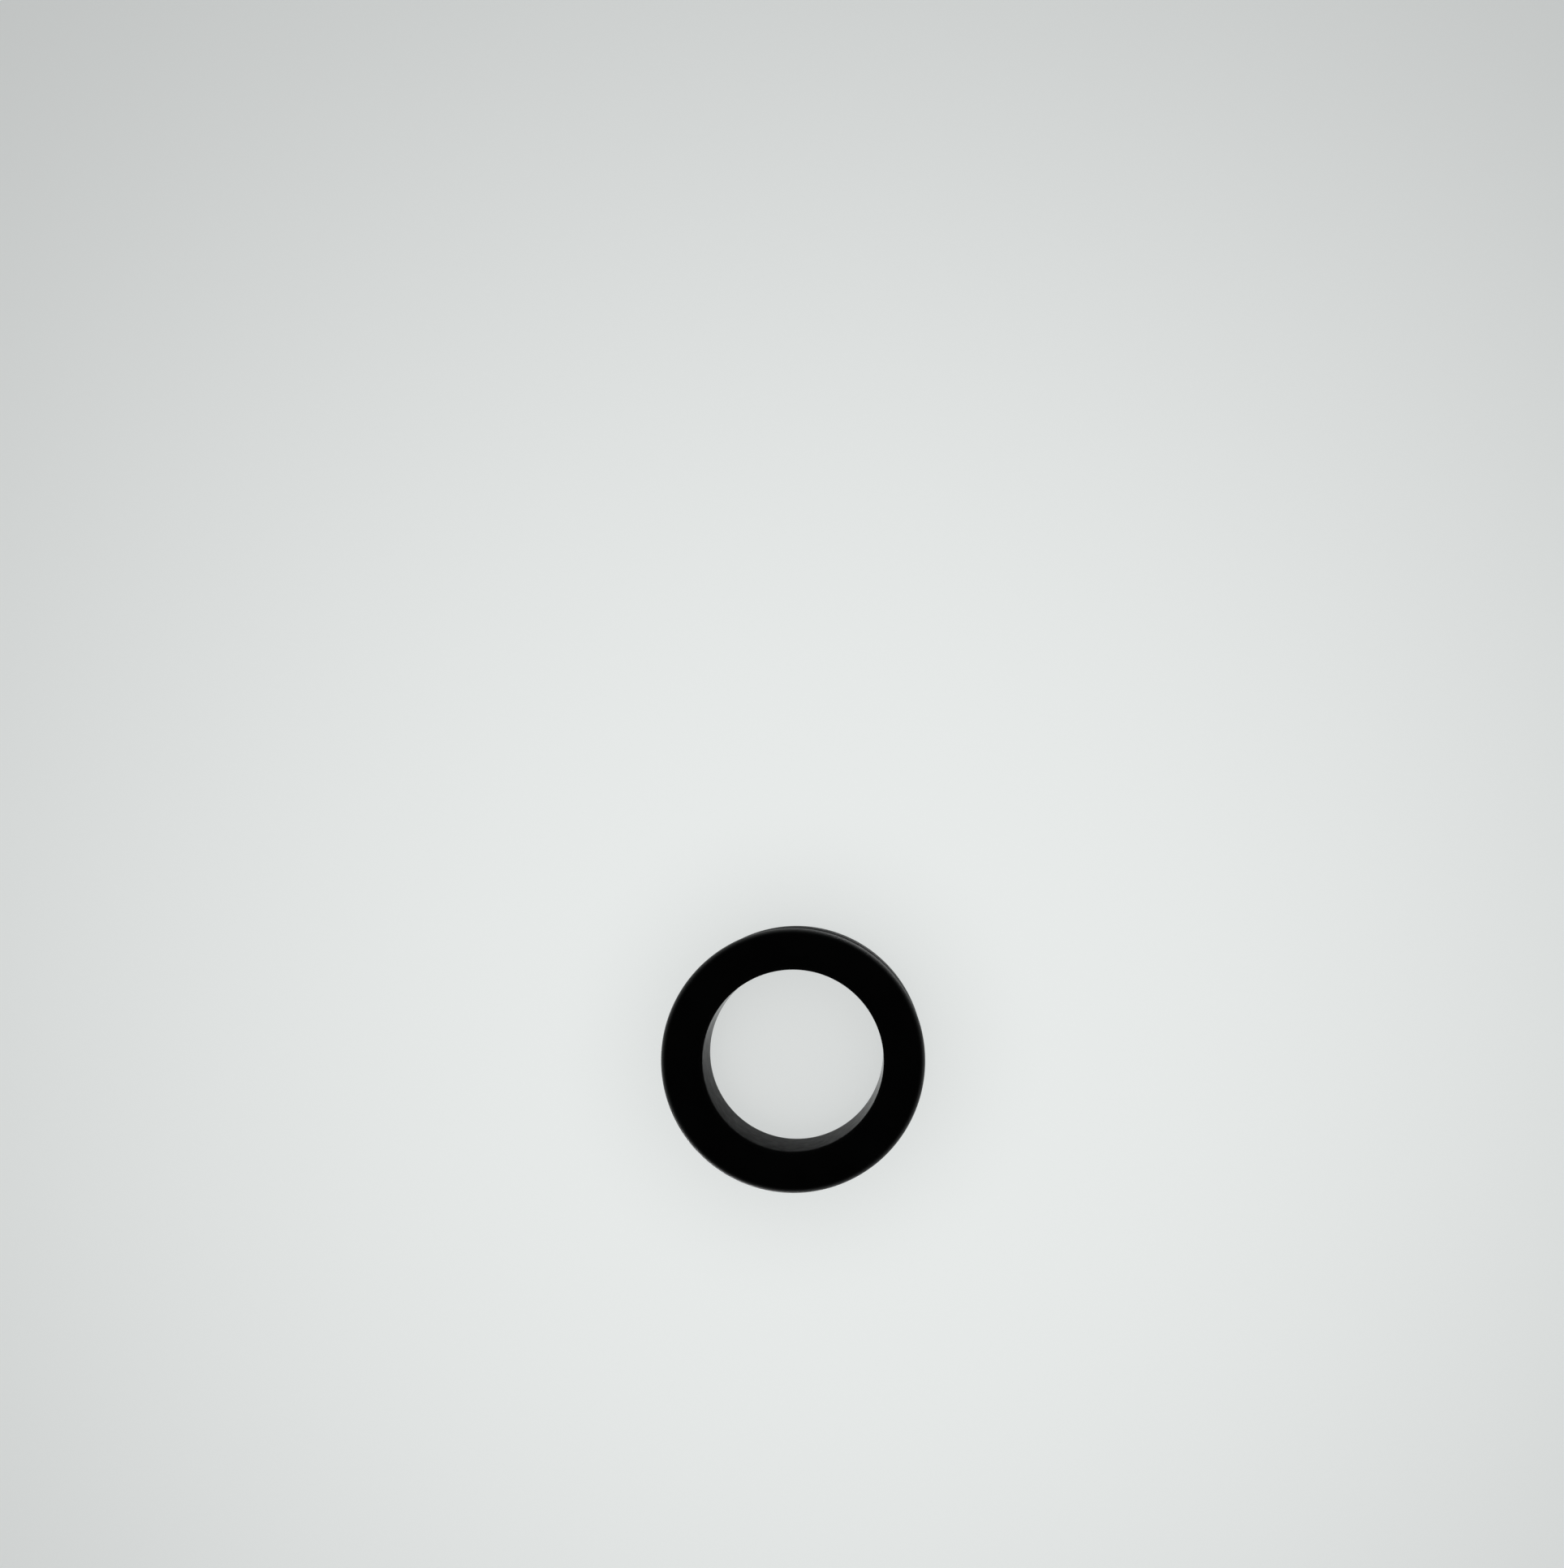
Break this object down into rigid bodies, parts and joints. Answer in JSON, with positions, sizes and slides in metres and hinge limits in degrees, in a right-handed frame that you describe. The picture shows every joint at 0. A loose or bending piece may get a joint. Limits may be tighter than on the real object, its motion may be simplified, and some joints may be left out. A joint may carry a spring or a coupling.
{
  "type": "silicone ear tunnel",
  "caption": "Black silicone ear tunnel: a short open tube with a waist that sits in a stretched earlobe piercing and a thin rounded flare at each end.",
  "frame": {"origin": "centre of the back face, on the bore's axis, at the level of the surface the tunnel lies on", "axes": "+Z along the bore, from the back face to the front face that shows in the picture; the form is round, so +X and +Y are any two directions across it"},
  "size_m": [0.0162, 0.0162, 0.01],
  "materials": {
    "black_silicone": "satin, smooth moulded silicone rubber"
  },
  "bodies": {
    "root": {"tunnel": "black_silicone"}
  },
  "joints": []
}
